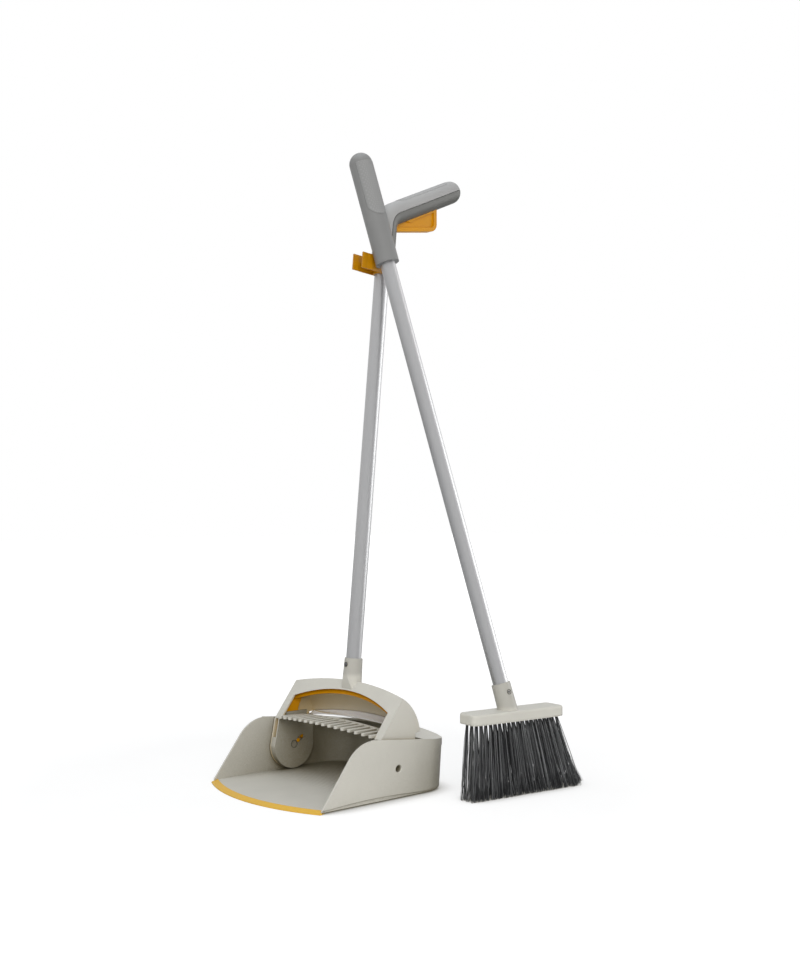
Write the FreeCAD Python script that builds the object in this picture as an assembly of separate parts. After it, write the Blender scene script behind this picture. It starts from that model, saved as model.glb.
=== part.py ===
import FreeCAD, Part
import math
import os

# Upright dust pan with a folding hood handle, and the lobby broom that leans on it.
# Millimetres. X is the width of the pan, Y runs from the lip (-Y) to the rear, Z is up.
# The origin is on the floor under the middle of the pan.

V = FreeCAD.Vector

# ---- general clearances
FIT = 0.04
SLIDE_GAP = 0.4
TINY = 1e-6
FAR = 400.0

# ---- pan
PAN_HALF = 127.0
PAN_WALL = 3.0
PAN_FLOOR = 4.0
PAN_REAR = 130.0
PAN_CORNER = 42.0
PAN_DRAFT = 5.0
BAND_LOW_Z = 61.0
BAND_PROUD = 2.0
BAND_HALF = 124.5
BEAD_Z = (11.0, 14.0)
BEAD_PROUD = 0.8
BEAD_HALF = 106.0
FOOT_ROUND = 6.0
LIP_CORNER_Y = -107.0
LIP_BOW = 30.0
WALL_FOOT = (-104.0, 4.0)
WALL_KNEE = (-58.0, 64.0)
WALL_BEND = (-42.0, 77.5)
WALL_SHOULDER = (-20.0, 84.0)
TOP_SLOPE = 0.1034
TOP_LEVEL_Y = -12.0
DECK_CROWN = 8.0
DECK_CROWN_HALF = 100.0
DECK_THICKNESS = 2.6
DECK_EDGE_Y = 40.0
DECK_EDGE_HALF = 118.0
DECK_EDGE_DEPTH = 56.0
NOTCH_X = 108.0
NOTCH_Y = 74.0
SKIRT_POINTS = ((-107.0, 3.8), (-14.0, 7.6), (88.0, 2.2))
SKIRT_CUT = 1.2
STRIP_WIDTH = 9.5
STRIP_REAR_Z = 4.4
STRIP_TIP_Z = 1.2
TONGUE = (2.5, 1.3, 2.7)

# ---- pivot and lock
PIVOT_Y = 26.7
PIVOT_Z = 40.9
HUB_RADIUS = 5.75
HUB_FIT = 0.05
HUB_END_X = 110.2
HUB_BORE = 4.5
HUB_BORE_DEPTH = 14.0
HUB_CHAMFER = 1.25
PIN_RADIUS = 2.75
PIN_HUB_GAP = 0.25
PIN_ANGLE = math.radians(33.3)
PIN_TRAVEL = 9.1
PIN_INNER_X = 108.4
PIN_OUTER_X = 118.0
LATCH_TRAVEL = 5.0
SLOT_GAP = 0.35

# ---- hood
HOOD_HALF = 121.0
HOOD_WALL = 2.5
HOOD_AXIS = (8.0, 78.4)
HOOD_RADIUS = 63.4
HOOD_CROWN = 14.0
FRONT_FOOT = (0.5, 82.0)
FRONT_SLOPE = 0.745
CHEEK_EDGE = ((35.5, 81.3), (57.9, 83.4), (71.0, 85.3))
REAR_EDGE_Z = (83.6, 91.1)
SHELF_HALF = 112.0
SHELF_REAR = (86.0, 87.0, 93.8)
SHELF_FRONT = (66.0, 84.0, 82.0)
SHELF_RIM_Y = (67.5, 72.0)
SHELF_THICKNESS = 2.0
OPENING_HALF = 107.0
OPENING_SIDE_Z = 114.0
OPENING_TOP_Z = 132.0
CHEEK_RADIUS = 35.5
PLATE_FRONT_TOP = (-1.0, 80.0)
PLATE_TOP_Z = 86.0
COVER_X = 109.0
COVER_PLATE = 2.0
COVER_TOP_Z = 81.6
COVER_TAB_Y = (12.0, 50.0)
COVER_TAB_Z = 90.0
COVER_GAP_Z = 54.0
COVER_GAP_Y = 12.0

# ---- comb
COMB_TEETH = 16
COMB_PITCH = 13.75
TOOTH_WIDTH = 6.6
TOOTH_THICKNESS = 3.6
COMB_BAR = (28.0, 34.0)
COMB_END_Z = 84.0
COMB_CROWN = 5.0
COMB_TIP_Y = -5.0
COMB_TIP_BOW = 7.0

# ---- yoke
YOKE_BACK = 6.5
YOKE_DEPTH = 6.0
YOKE_TOP_Z = 131.0
YOKE_SIDE_Z = 113.0
YOKE_BAND = 6.0
LEG_X = (112.5, 116.5)
LEG_POINTS = ((31.0, 113.0), (45.0, 113.0), (36.0, 92.0), (46.0, 76.0), (52.0, 60.0), (52.0, 40.0),
              (36.5, 40.0), (30.0, 49.0), (22.0, 50.0), (8.0, 60.0), (4.5, 72.0), (11.5, 86.0))

# ---- tubes
TUBE_RADIUS = 11.0
TUBE_WALL = 1.2
TUBE_SLOPE = 0.0952
SOCKET_TOP_Z = 176.8
TUBE_Y = 52.0
SOCKET_LOW_Z = 128.0
SOCKET_RADII = (14.5, 13.0)
SOCKET_CHIN = ((36.2, 160.0), (36.9, 146.0), (39.24, 134.0))
TUBE_SEAT_Z = 152.0
TUBE_TOP_Z = 798.0
ROD_RADIUS = 2.5
ROD_Z = (126.5, 817.0)
ROD_ROOM = 1.0
SCREW_HEAD = 3.0
SCREW_HEIGHT = 1.6
SCREW_CORE = 1.4
SCREW_SEAT = 0.15
SCREW_REACH = 1.0
SCREW_SLOT = (0.7, 3.2, 0.8)
SOCKET_SCREW_Z = 167.5

# ---- clip on the pan tube for the broom
CLIP_Z = (737.0, 760.0)
CLIP_RING = 13.4
CLIP_ARM_OUT = 12.3
CLIP_ARM = 2.2
CLIP_THROAT = 38.5
CLIP_REACH = 47.5
CLIP_PINCH = 9.2
CLIP_FLARE = 11.6

# ---- pan grip
GRIP_RADIUS = 17.2
GRIP_LOW_Z = 768.0
GRIP_BEND_Z = 824.9
GRIP_BEND = 26.0
GRIP_RISE = math.radians(24.0)
GRIP_ARM = 142.1
GROOVE = (0.8, 0.8)
INLAY_SPAN = (30.0, 138.0)
INLAY_THICKNESS = 1.6
INLAY_PROUD = 0.4
INLAY_HALF = 10.5
GRIP_SCREW_AT = 124.0
GRIP_SCREW_LENGTH = 13.0

# ---- trigger
TRIGGER_HALF = 6.0
TRIGGER_WEB = 3.5
TRIGGER_RIM = 6.0
TRIGGER_LOW = (131.7, 805.1)
TRIGGER_SLOPE = 0.1485
TRIGGER_REAR = 211.0
TRIGGER_CORNER = 10.0
TRIGGER_INSIDE = 5.0
TRIGGER_SEAT_Y = (143.0, 157.0)
TRIGGER_SEAT_Z = 829.0
TRIGGER_NOSE = (5.0, 9.0, 822.0)
TRIGGER_GAP = 0.5
SPRING_RADIUS = 4.0
SPRING_WIRE = 0.7
SPRING_LENGTH = 15.0
SPRING_TURNS = 5
SPRING_STEPS = 12

# ---- broom
BROOM_POINT = V(191.3, 172.0, 113.0)
BROOM_DIR = V(-0.2389, -0.1286, 0.9625).normalize()
HEAD_CENTRE = V(192.3, 180.0, 0.0)
HEAD_TURN = -6.95
BLOCK_LENGTH = 162.0
BLOCK_DEPTH = 39.0
BLOCK_Z = (99.0, 113.5)
BLOCK_CORNER = 9.0
BLOCK_EDGE = 3.0
BACKING = 1.6
BROOM_SOCKET_RADII = (14.2, 13.3)
BROOM_SOCKET_TOP_Z = 149.0
BROOM_TUBE_Z = (112.0, 800.0)
BROOM_SCREW_Z = 136.0
BROOM_GRIP_Z = (747.0, 894.8)
BROOM_GRIP_SEAT_Z = 801.0
PAD_LOW_Z = 815.0
PAD_HALF_ANGLE = math.radians(60.0)
PAD_THICKNESS = 1.6
PAD_PROUD = 0.4
ROWS = 3
TUFTS = 19
STRANDS = 7
TUFT_RADIUS = 2.2
TUFT_SPREAD = 1.7
STRAND_RADIUS = 0.7
ROW_LENGTH = 157.0
FLARE_FRONT = 10.0
FLARE_REAR = 36.0
ROW_CLOSE = 0.8
ROW_SHIFT = 14.0

TUBE_DIR = V(0, TUBE_SLOPE, 1).normalize()
TUBE_BACK = V(0, TUBE_DIR.z, -TUBE_DIR.y)
ARM_DIR = V(0, math.cos(GRIP_RISE), math.sin(GRIP_RISE))
ARM_UP = V(0, -ARM_DIR.z, ARM_DIR.y)


# ---- drawing helpers
def face(place, start, steps):
    """Plane face of a closed outline; a step of two points is an arc through the first."""
    edges = []
    here = place(*start)
    for step in list(steps) + [start]:
        if isinstance(step[0], tuple):
            there = place(*step[1])
            edges.append(Part.Arc(here, place(*step[0]), there).toShape())
        else:
            there = place(*step)
            if there.distanceToPoint(here) > TINY:
                edges.append(Part.LineSegment(here, there).toShape())
        here = there
    return Part.Face(Part.Wire(edges))


def across(start, steps, x0, x1):
    """Prism along X of an outline in the Y-Z plane."""
    return face(lambda y, z: V(x0, y, z), start, steps).extrude(V(x1 - x0, 0, 0))


def through(start, steps, y0, y1):
    """Prism along Y of an outline in the X-Z plane."""
    return face(lambda x, z: V(x, y0, z), start, steps).extrude(V(0, y1 - y0, 0))


def box(x, y, z):
    """Box between pairs of limits."""
    return Part.makeBox(x[1] - x[0], y[1] - y[0], z[1] - z[0], V(x[0], y[0], z[0]))


def rod_x(y, z, radius, x0, x1):
    return Part.makeCylinder(radius, x1 - x0, V(x0, y, z), V(1, 0, 0))


def slot_x(start, length, angle, radius, x0, x1):
    """Round-ended slot along X that leaves a (y, z) centre at an angle above level."""
    along = V(0, math.cos(angle), math.sin(angle))
    side = V(0, -along.z, along.y) * radius
    a = V(x0, start[0], start[1])
    b = a + along * length
    edges = [Part.LineSegment(a + side, b + side).toShape(),
             Part.Arc(b + side, b + along * radius, b - side).toShape(),
             Part.LineSegment(b - side, a - side).toShape(),
             Part.Arc(a - side, a - along * radius, a + side).toShape()]
    return Part.Face(Part.Wire(edges)).extrude(V(x1 - x0, 0, 0))


def both_sides(shape):
    return shape.fuse(mirrored(shape))


def mirrored(shape):
    return shape.mirror(V(0, 0, 0), V(1, 0, 0))


def on_tube(z):
    """Point of the pan tube's axis at height z."""
    return V(0, TUBE_Y + TUBE_SLOPE * (z - SOCKET_TOP_Z), z)


def tube_bar(radius, z0, z1):
    a = on_tube(z0)
    return Part.makeCylinder(radius, (on_tube(z1) - a).Length, a, TUBE_DIR)


def on_broom(z):
    """Point of the broom tube's axis at height z."""
    return BROOM_POINT + BROOM_DIR * ((z - BROOM_POINT.z) / BROOM_DIR.z)


def broom_bar(radius, z0, z1):
    a = on_broom(z0)
    return Part.makeCylinder(radius, (on_broom(z1) - a).Length, a, BROOM_DIR)


def screw(point, out, length):
    """Cross-recessed screw whose head bears at a point, facing out."""
    head = Part.makeCylinder(SCREW_HEAD, SCREW_HEIGHT, point, out)
    dome = Part.makeSphere(SCREW_HEAD * 1.2, point - out * (SCREW_HEAD * 1.2 - SCREW_HEIGHT))
    shank = Part.makeCylinder(SCREW_CORE, length, point - out * length, out)
    wide, long, deep = SCREW_SLOT
    cross = box((-wide / 2, wide / 2), (-long / 2, long / 2), (0, deep + 1))
    cross = cross.fuse(box((-long / 2, long / 2), (-wide / 2, wide / 2), (0, deep + 1)))
    turn = FreeCAD.Rotation(V(0, 0, 1), out)
    cross.Placement = FreeCAD.Placement(point + out * (SCREW_HEIGHT - deep), turn)
    return head.common(dome).fuse(shank).cut(cross)


def screw_bore(point, out, length):
    return Part.makeCylinder(SCREW_CORE + FIT, length + 2, point - out * (length + FIT), out)


# ---- pan
def plan(half, rear, corner, z, front_y=LIP_CORNER_Y, bow=LIP_BOW):
    """Plan outline of the pan at height z: bowed lip, straight sides, round rear corners."""
    k = corner * (1 - math.sqrt(0.5))
    side_y = rear - corner
    steps = [((0, front_y - bow), (half, front_y)), (half, side_y),
             ((half - k, rear - k), (half - corner, rear)), (-half + corner, rear),
             ((-half + k, rear - k), (-half, side_y))]
    return face(lambda x, y: V(x, y, z), (-half, front_y), steps)


def pan_body(inset, low_z, front_y=LIP_CORNER_Y):
    """Pan-shaped solid: drafted rear below the band, upright rear above it."""
    half = PAN_HALF - inset
    corner = PAN_CORNER - inset
    rear = PAN_REAR - inset
    foot = plan(half, rear - PAN_DRAFT, corner, low_z, front_y)
    waist = plan(half, rear, corner, BAND_LOW_Z, front_y)
    lower = Part.makeLoft([foot.OuterWire, waist.OuterWire], True, True)
    upper = plan(half, rear, corner, BAND_LOW_Z, front_y).extrude(V(0, 0, FAR))
    return lower.fuse(upper).removeSplitter()


def top_slab(drop):
    """Everything below the crowned top surface lowered by a drop."""
    y0 = -FAR
    z0 = WALL_SHOULDER[1] - TOP_SLOPE * (y0 - TOP_LEVEL_Y) - drop
    side = PAN_HALF + 1
    crown = DECK_CROWN_HALF
    edge = face(lambda x, z: V(x, y0, z), (-crown, z0),
                [((0, z0 + DECK_CROWN), (crown, z0)), (side, z0), (side, z0 - FAR),
                 (-side, z0 - FAR), (-side, z0)])
    return edge.extrude(V(0, 2 * FAR, -2 * FAR * TOP_SLOPE))


def above_front_edge():
    """Space ahead of and above the side walls' sloping front edges."""
    steps = [WALL_KNEE, (WALL_BEND, WALL_SHOULDER), (WALL_SHOULDER[0], FAR), (-FAR, FAR),
             (-FAR, WALL_FOOT[1])]
    return across(WALL_FOOT, steps, -FAR, FAR)


def deck():
    """Crowned rear deck with a curved front edge and notches for the cheeks."""
    slab = top_slab(0.0).cut(top_slab(DECK_THICKNESS))
    slab = slab.common(pan_body(PAN_WALL / 2, 0.0))
    ring = Part.Ellipse(V(0, DECK_EDGE_Y, 0), DECK_EDGE_HALF, DECK_EDGE_DEPTH)
    well = Part.Face(Part.Wire([ring.toShape()])).extrude(V(0, 0, FAR))
    slab = slab.cut(well.fuse(box((-FAR, FAR), (-FAR, DECK_EDGE_Y), (0, FAR))))
    inner = PAN_HALF - PAN_WALL
    for x in ((NOTCH_X, inner), (-inner, -NOTCH_X)):
        slab = slab.cut(box(x, (-FAR, NOTCH_Y), (0, FAR)))
    return slab


def strip_zone():
    """Space the lip strip may fill: between the walls, and full width ahead of their feet."""
    inner = PAN_HALF - PAN_WALL
    return box((-inner, inner), (-FAR, 0), (-FAR, FAR)).fuse(
        box((-PAN_HALF, PAN_HALF), (-FAR, WALL_FOOT[0]), (-FAR, FAR)))


def strip_ring(gap):
    """Wedge along the bowed lip, with a tongue at its rear; gap enlarges the tongue."""
    drop = LIP_BOW
    radius = (PAN_HALF ** 2 + drop ** 2) / (2 * drop)
    centre_y = LIP_CORNER_Y - LIP_BOW + radius
    rear = radius - STRIP_WIDTH
    long, low, high = TONGUE
    profile = face(lambda r, z: V(r, centre_y, z), (rear, 0),
                   [(radius, 0), (radius, STRIP_TIP_Z), (rear, STRIP_REAR_Z), (rear, high + gap),
                    (rear - long - gap, high + gap), (rear - long - gap, low - gap), (rear, low - gap)])
    ring = profile.revolve(V(0, centre_y, 0), V(0, 0, 1), 360)
    return ring.common(strip_zone()), rear, centre_y


def hub():
    """Blind pivot stub moulded on the right wall."""
    return rod_x(PIVOT_Y, PIVOT_Z, HUB_RADIUS, HUB_END_X, PAN_HALF - PAN_WALL / 2)


def hub_bore():
    start = PAN_HALF - HUB_BORE_DEPTH
    bore = rod_x(PIVOT_Y, PIVOT_Z, HUB_BORE, start, PAN_HALF + 1)
    mouth = Part.makeCone(HUB_BORE, HUB_BORE + HUB_CHAMFER, HUB_CHAMFER,
                          V(PAN_HALF - HUB_CHAMFER, PIVOT_Y, PIVOT_Z), V(1, 0, 0))
    return bore.fuse(mouth)


def under_arch(points, x0, x1):
    """Shallow arch cut from below through three (y, z) points."""
    low = -10.0
    return across(points[0], [(points[1], points[2]), (points[2][0], low), (points[0][0], low)], x0, x1)


def pan_scoop():
    """One moulding: floor, walls, rear band and bead, crowned deck and pivot stubs."""
    outer = pan_body(0.0, 0.0)
    foot = [e for e in outer.Edges if e.BoundBox.ZMax < TINY + 0.01 and e.BoundBox.YMin > DECK_EDGE_Y]
    outer = outer.makeFillet(FOOT_ROUND, foot)
    bead_rear = PAN_REAR - PAN_DRAFT * (1 - BEAD_Z[1] / BAND_LOW_Z) + BEAD_PROUD
    bead = plan(PAN_HALF, bead_rear, PAN_CORNER + BEAD_PROUD, BEAD_Z[0])
    bead = bead.extrude(V(0, 0, BEAD_Z[1] - BEAD_Z[0]))
    bead = bead.common(box((-BEAD_HALF, BEAD_HALF), (DECK_EDGE_Y, FAR), (0, FAR)))
    band = plan(PAN_HALF, PAN_REAR + BAND_PROUD, PAN_CORNER + BAND_PROUD, BAND_LOW_Z)
    band = band.extrude(V(0, 0, FAR / 2))
    band = band.common(box((-BAND_HALF, BAND_HALF), (PAN_REAR - PAN_CORNER, FAR), (0, FAR)))
    outer = outer.fuse(bead).fuse(band).common(top_slab(0.0))
    cavity = pan_body(PAN_WALL, 0.0, LIP_CORNER_Y - FAR / 2)
    cavity = cavity.common(box((-FAR, FAR), (-FAR, FAR), (PAN_FLOOR, FAR)))
    body = outer.cut(cavity).cut(above_front_edge())
    body = body.fuse(deck()).fuse(both_sides(hub())).cut(both_sides(hub_bore()))
    body = body.cut(both_sides(under_arch(SKIRT_POINTS, PAN_HALF - SKIRT_CUT, PAN_HALF + 1)))
    groove, rear, centre_y = strip_ring(FIT)
    keep = Part.makeCylinder(rear - FIT, FAR, V(0, centre_y, -FAR / 2))
    edge = strip_zone().cut(keep)
    return body.cut(edge).cut(groove).removeSplitter()


def lip_strip():
    return strip_ring(0.0)[0]


# ---- hood
def front_y(z, back=0.0):
    """Y of the hood's sloping front face at height z, moved back square to the face."""
    return FRONT_FOOT[0] + (z - FRONT_FOOT[1]) * FRONT_SLOPE + back * math.hypot(1, FRONT_SLOPE)


def ahead_of_front(back):
    """Everything ahead of the front face moved back by a distance."""
    corners = [(front_y(-FAR, back), -FAR), (front_y(FAR, back), FAR), (-2 * FAR, FAR), (-2 * FAR, -FAR)]
    return across(corners[0], corners[1:], -FAR, FAR)


def barrel(inset):
    """Barrel about the hood's axis, wider in the middle than at the cheeks."""
    half = HOOD_HALF - inset
    radius = HOOD_RADIUS - inset
    y0, z0 = HOOD_AXIS
    profile = face(lambda x, r: V(x, y0, z0 + r), (-half, 0),
                   [(-half, radius), ((0, radius + HOOD_CROWN), (half, radius)), (half, 0)])
    return profile.revolve(V(0, y0, z0), V(1, 0, 0), 360)


def plate_outline(shrink, top):
    """Cheek plate outline: round about the pivot, open towards the top edge given."""
    r = CHEEK_RADIUS - shrink
    y0 = PIVOT_Y - r
    y1 = PIVOT_Y + r
    steps = [((PIVOT_Y, PIVOT_Z - r), (y1, PIVOT_Z))] + list(top)
    return (y0, PIVOT_Z), steps


def arched_strip(y, side_z, mid_z):
    """Outline at y of a strip that arches between the cheeks."""
    half = SHELF_HALF
    t = SHELF_THICKNESS
    return face(lambda x, z: V(x, y, z), (-half, side_z),
                [((0, mid_z), (half, side_z)), (half, side_z + t), ((0, mid_z + t), (-half, side_z + t))])


def rear_shelf():
    """Shelf inside the hood that falls from its rear edge to a curved rim."""
    front = arched_strip(*SHELF_FRONT)
    rear = arched_strip(*SHELF_REAR)
    shelf = Part.makeLoft([front.OuterWire, rear.OuterWire], True, True)
    side_y, mid_y = SHELF_RIM_Y
    ahead = face(lambda x, y: V(x, y, 0), (-HOOD_HALF, side_y),
                 [((0, mid_y), (HOOD_HALF, side_y)), (HOOD_HALF, 0), (-HOOD_HALF, 0)])
    return shelf.cut(ahead.extrude(V(0, 0, FAR))).common(barrel(HOOD_WALL / 2))


def front_opening():
    """Prism of the arched opening in the front face."""
    half = OPENING_HALF
    side_z = OPENING_SIDE_Z
    top = [(half, 0), (half, side_z), ((0, OPENING_TOP_Z), (-half, side_z))]
    return through((-half, 0), top, -FAR, front_y(OPENING_TOP_Z, HOOD_WALL) + 1)


def socket():
    """Tapered tube socket whose front runs down into the hood's sloping face."""
    base = on_tube(SOCKET_LOW_Z)
    height = (on_tube(SOCKET_TOP_Z) - base).Length
    cone = Part.makeCone(SOCKET_RADII[0], SOCKET_RADII[1], height, base, TUBE_DIR)
    top, middle, foot = SOCKET_CHIN
    low = (front_y(SOCKET_LOW_Z), SOCKET_LOW_Z)
    chin = across(top, [(middle, foot), low, (-FAR, low[1]), (-FAR, top[1])], -FAR, FAR)
    return cone.cut(chin)


def hood_shell():
    """Crowned hood with an arched front, two cheeks round the pivot and the tube socket."""
    ahead = ahead_of_front(0.0)
    outer = barrel(0.0).cut(ahead)
    inner = barrel(HOOD_WALL).cut(ahead_of_front(HOOD_WALL))
    shell = outer.cut(inner)
    edge = list(CHEEK_EDGE)
    last = edge[-1][1]
    below = across((-FAR, FRONT_FOOT[1]), edge + [(FAR, last), (FAR, -FAR), (-FAR, -FAR)], -FAR, FAR)
    side_z, mid_z = REAR_EDGE_Z
    inner_half = HOOD_HALF - HOOD_WALL
    arch = [((0, mid_z), (inner_half, side_z)), (inner_half, 0), (-inner_half, 0)]
    rear_low = through((-inner_half, side_z), arch, CHEEK_EDGE[0][0], FAR)
    shell = shell.cut(below).cut(rear_low).fuse(rear_shelf())
    plate_top = [(PIVOT_Y + CHEEK_RADIUS, PLATE_TOP_Z), (front_y(PLATE_TOP_Z, FIT), PLATE_TOP_Z)]
    start, steps = plate_outline(0.0, plate_top + [FRONT_FOOT, PLATE_FRONT_TOP])
    plate = across(start, steps, inner_half, HOOD_HALF)
    shell = shell.fuse(both_sides(plate)).fuse(socket().cut(inner)).cut(front_opening())
    shell = shell.cut(tube_bar(TUBE_RADIUS + FIT, TUBE_SEAT_Z, SOCKET_TOP_Z + 5))
    shell = shell.cut(tube_bar(ROD_RADIUS + SLIDE_GAP, ROD_Z[0], SOCKET_TOP_Z))
    hole = rod_x(PIVOT_Y, PIVOT_Z, HUB_RADIUS + HUB_FIT, inner_half - 1, HOOD_HALF + 1)
    shell = shell.cut(both_sides(hole))
    point, out, length = socket_screw_place()
    return shell.cut(screw_bore(point, out, length)).removeSplitter()


def socket_screw_place():
    """Seat, direction and length of the screw through the socket into the tube."""
    base = on_tube(SOCKET_SCREW_Z)
    out = TUBE_BACK * -1
    share = (SOCKET_TOP_Z - SOCKET_SCREW_Z) / (SOCKET_TOP_Z - SOCKET_LOW_Z)
    radius = SOCKET_RADII[1] + (SOCKET_RADII[0] - SOCKET_RADII[1]) * share
    return base + out * (radius + SCREW_SEAT), out, radius - TUBE_RADIUS + TUBE_WALL + SCREW_REACH


def pin_start():
    reach = HUB_RADIUS + PIN_RADIUS + PIN_HUB_GAP
    return (PIVOT_Y + reach * math.cos(PIN_ANGLE), PIVOT_Z + reach * math.sin(PIN_ANGLE))


def side_cover():
    """Right inner plate of the cheek with the rim that boxes in the latch leg."""
    outer_x = HOOD_HALF - HOOD_WALL
    tab0, tab1 = COVER_TAB_Y
    top = [(PIVOT_Y + CHEEK_RADIUS, COVER_TOP_Z), (tab1, COVER_TOP_Z), (tab1, COVER_TAB_Z),
           (tab0, COVER_TAB_Z), (tab0, COVER_TOP_Z), (PLATE_FRONT_TOP[0], COVER_TOP_Z), PLATE_FRONT_TOP]
    start, steps = plate_outline(0.0, top)
    body = across(start, steps, COVER_X, outer_x)
    r = CHEEK_RADIUS - COVER_PLATE
    front = PLATE_FRONT_TOP[0] + COVER_PLATE
    open_top = [(PIVOT_Y + r, FAR), (front, FAR), (front, PLATE_FRONT_TOP[1])]
    start, steps = plate_outline(COVER_PLATE, open_top)
    room = across(start, steps, COVER_X + COVER_PLATE, outer_x + 1)
    gap = box((COVER_X + COVER_PLATE, outer_x + 1), (-FAR, COVER_GAP_Y), (COVER_GAP_Z, FAR))
    body = body.cut(room).cut(gap)
    body = body.cut(rod_x(PIVOT_Y, PIVOT_Z, HUB_RADIUS + HUB_FIT, COVER_X - 1, outer_x + 1))
    slot = slot_x(pin_start(), PIN_TRAVEL, PIN_ANGLE, PIN_RADIUS + SLOT_GAP,
                  COVER_X - 1, COVER_X + COVER_PLATE + 1)
    return body.cut(slot).removeSplitter()


def comb_rise(x):
    return 1 - (x / COVER_X) ** 2


def hair_comb():
    """Crowned bar between the side covers, with round-ended teeth that strip the broom."""
    half = COVER_X
    t = TOOTH_THICKNESS / 2
    low = COMB_END_Z - t
    high = COMB_END_Z + t
    bar = through((-half, low), [((0, low + COMB_CROWN), (half, low)), (half, high),
                                 ((0, high + COMB_CROWN), (-half, high))], COMB_BAR[0], COMB_BAR[1])
    teeth = []
    first = -COMB_PITCH * (COMB_TEETH - 1) / 2
    for i in range(COMB_TEETH):
        x = first + COMB_PITCH * i
        z = COMB_END_Z + COMB_CROWN * comb_rise(x)
        tip = COMB_TIP_Y - COMB_TIP_BOW * comb_rise(x)
        w = TOOTH_WIDTH / 2
        back = COMB_BAR[0] + 1
        plate = box((x - w, x + w), (tip + w, back), (z - t, z + t))
        end = Part.makeCylinder(w, 2 * t, V(x, tip + w, z - t))
        teeth.append(plate.fuse(end))
    return bar.multiFuse(teeth).removeSplitter()


def yoke_arch():
    """Arch just behind the hood's front frame."""
    half = LEG_X[1]
    inner = LEG_X[0]
    low = YOKE_SIDE_Z - YOKE_BAND
    arch = [(half, low), (half, YOKE_SIDE_Z), ((0, YOKE_TOP_Z), (-half, YOKE_SIDE_Z))]
    outer = through((-half, low), arch, -FAR, FAR)
    arch = [(inner, 0), (inner, low), ((0, YOKE_TOP_Z - YOKE_BAND), (-inner, low))]
    hole = through((-inner, 0), arch, -FAR, FAR)
    return outer.cut(hole).cut(ahead_of_front(YOKE_BACK)).common(ahead_of_front(YOKE_BACK + YOKE_DEPTH))


def latch_yoke():
    """Yellow arch under the hood's crown whose legs move the lock pins."""
    leg = across(LEG_POINTS[0], LEG_POINTS[1:], LEG_X[0], LEG_X[1])
    reach = PIN_TRAVEL * math.cos(PIN_ANGLE)
    leg = leg.cut(slot_x(pin_start(), reach, 0.0, PIN_RADIUS + SLOT_GAP, LEG_X[0] - 1, LEG_X[1] + 1))
    yoke = yoke_arch().fuse(both_sides(leg))
    return yoke.cut(tube_bar(ROD_RADIUS + FIT, ROD_Z[0] - FIT, ROD_Z[1])).removeSplitter()


def lock_pins():
    y, z = pin_start()
    pin = rod_x(y, z, PIN_RADIUS, PIN_INNER_X, PIN_OUTER_X)
    return Part.makeCompound([pin, mirrored(pin)])


# ---- tube, rod and clip
def pan_tube():
    tube = tube_bar(TUBE_RADIUS, TUBE_SEAT_Z, TUBE_TOP_Z)
    tube = tube.cut(tube_bar(TUBE_RADIUS - TUBE_WALL, TUBE_SEAT_Z - 1, TUBE_TOP_Z + 1))
    return tube.cut(screw_bore(*socket_screw_place()))


def tube_clip():
    """Ring on the pan tube with two sprung arms that take the broom's tube."""
    a = on_tube(CLIP_Z[0])
    height = (on_tube(CLIP_Z[1]) - a).Length
    ring = Part.makeCylinder(CLIP_RING, height)
    t = CLIP_ARM
    root = CLIP_ARM_OUT
    mid = CLIP_PINCH
    arm = face(lambda x, y: V(x, -y, 0), (root - t, 2.0),
               [(root, 2.0), (root, CLIP_THROAT - 9.0), (mid + t, CLIP_THROAT),
                ((mid + t + 0.3, CLIP_THROAT + 4.0), (CLIP_FLARE, CLIP_REACH)), (CLIP_FLARE - t, CLIP_REACH),
                ((mid + 0.3, CLIP_THROAT + 4.0), (mid, CLIP_THROAT)), (root - t, CLIP_THROAT - 9.0)])
    arm = arm.extrude(V(0, 0, height))
    body = ring.fuse(both_sides(arm)).cut(Part.makeCylinder(TUBE_RADIUS + FIT, height))
    body.Placement = FreeCAD.Placement(a, FreeCAD.Rotation(V(0, 0, 1), TUBE_DIR))
    return body.removeSplitter()


# ---- pan grip
def grip_path(out, extend):
    """Centre line of the grip moved outwards: start, bend start, bend middle, bend end, end."""
    bend = on_tube(GRIP_BEND_Z)
    turn = math.acos(TUBE_DIR.dot(ARM_DIR))
    tangent = GRIP_BEND * math.tan(turn / 2)
    side = TUBE_BACK * -1
    centre = bend - TUBE_DIR * tangent - side * GRIP_BEND
    middle = (side + ARM_UP).normalize()
    return (on_tube(GRIP_LOW_Z) - TUBE_DIR * extend + side * out,
            bend - TUBE_DIR * tangent + side * out,
            centre + middle * (GRIP_BEND + out),
            bend + ARM_DIR * tangent + ARM_UP * out,
            bend + ARM_DIR * (GRIP_ARM + extend) + ARM_UP * out)


def grip_bar(radius):
    """Round bar along the grip's centre line with a domed end."""
    start, a, b, c, end = grip_path(0.0, 0.0)
    centre = Part.Arc(a, b, c).toShape().Curve.Center
    straight = Part.makeCylinder(radius, (a - start).Length, start, TUBE_DIR)
    disc = Part.Face(Part.Wire([Part.makeCircle(radius, a, TUBE_DIR)]))
    turn = math.degrees(math.acos(TUBE_DIR.dot(ARM_DIR)))
    bend = disc.revolve(centre, V(-1, 0, 0), turn)
    arm = Part.makeCylinder(radius, (end - c).Length, c, ARM_DIR)
    return straight.multiFuse([bend, arm, Part.makeSphere(radius, end)]).removeSplitter()


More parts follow.
